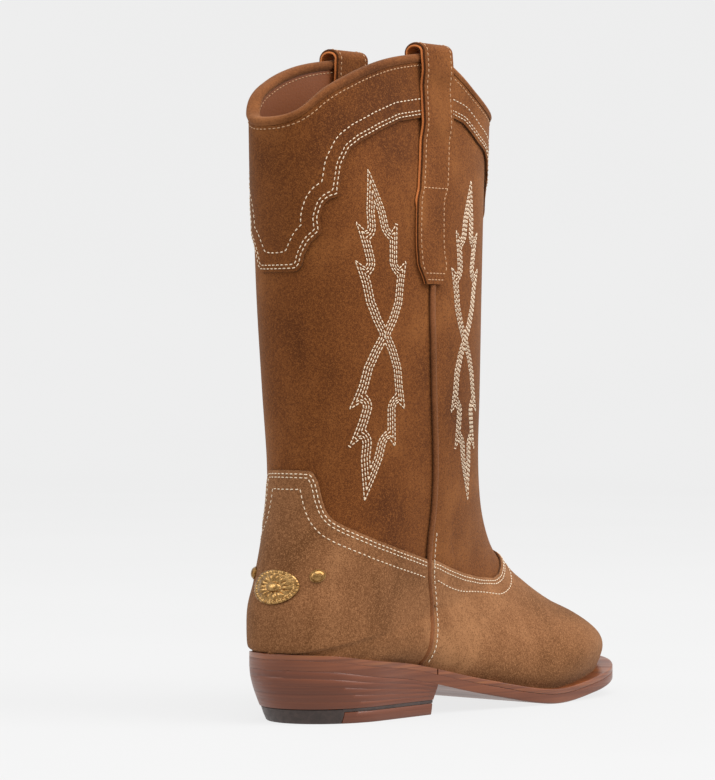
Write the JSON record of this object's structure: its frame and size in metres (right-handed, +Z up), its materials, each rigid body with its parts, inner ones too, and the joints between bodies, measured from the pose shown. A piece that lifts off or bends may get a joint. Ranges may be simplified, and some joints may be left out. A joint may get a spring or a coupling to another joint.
{
  "type": "cowboy boot",
  "caption": "Brown suede western boot with stacked heel, scalloped yokes, pull straps, cream stitching and a small brass heel ornament.",
  "frame": {"origin": "on the floor under the middle of the heel", "axes": "+Z up, +Y towards the toe, +X towards the outer side of the right foot"},
  "size_m": [0.0953, 0.2717, 0.344],
  "materials": {
    "suede_brown": "napped suede, patchy nap, matte",
    "suede_dark": "napped suede, matte",
    "calf_trim": "smooth waxed leather, satin",
    "raw_edge": "natural leather, matte",
    "lining_leather": "smooth lining leather, satin",
    "sole_leather": "burnished sole leather, satin",
    "stacked_leather": "stacked and polished leather, semi-gloss",
    "fibre_board": "pressed fibre board, matte",
    "cork": "cork and rubber filler, matte",
    "spring_steel": "spring steel, satin",
    "heel_rubber": "hard rubber, matte",
    "antique_brass": "antiqued gold-coloured brass"
  },
  "bodies": {
    "root": {"shaft_front_panel": "suede_brown", "shaft_back_panel": "suede_brown", "heel_counter": "fibre_board", "vamp_interlining": "fibre_board", "toe_puff": "fibre_board", "vamp": "suede_brown", "counter_cover": "suede_brown", "yoke_back": "suede_dark", "yoke_front": "suede_dark", "lining_back": "lining_leather", "heel_lining": "lining_leather", "lining_front": "lining_leather", "vamp_lining": "lining_leather", "collar_binding": "calf_trim", "side_piping_outer": "calf_trim", "side_piping_inner": "calf_trim", "pull_strap_outer_backing": "raw_edge", "pull_strap_outer": "suede_brown", "pull_strap_inner_backing": "raw_edge", "pull_strap_inner": "suede_brown", "welt": "sole_leather", "heel_rand": "sole_leather", "outsole": "sole_leather", "insole": "fibre_board", "heel_pad": "lining_leather", "cork_filler": "cork", "shank": "spring_steel", "heel_lift_1": "stacked_leather", "heel_lift_2": "stacked_leather", "heel_lift_3": "stacked_leather", "heel_lift_4": "stacked_leather", "heel_lift_5": "stacked_leather", "top_lift_rubber": "heel_rubber", "top_lift_leather": "stacked_leather", "heel_nail_1": "antique_brass", "heel_nail_2": "antique_brass", "heel_nail_3": "antique_brass", "heel_nail_4": "antique_brass", "heel_nail_5": "antique_brass", "heel_concho": "antique_brass", "heel_stud_outer": "antique_brass", "heel_stud_inner": "antique_brass"}
  },
  "joints": []
}
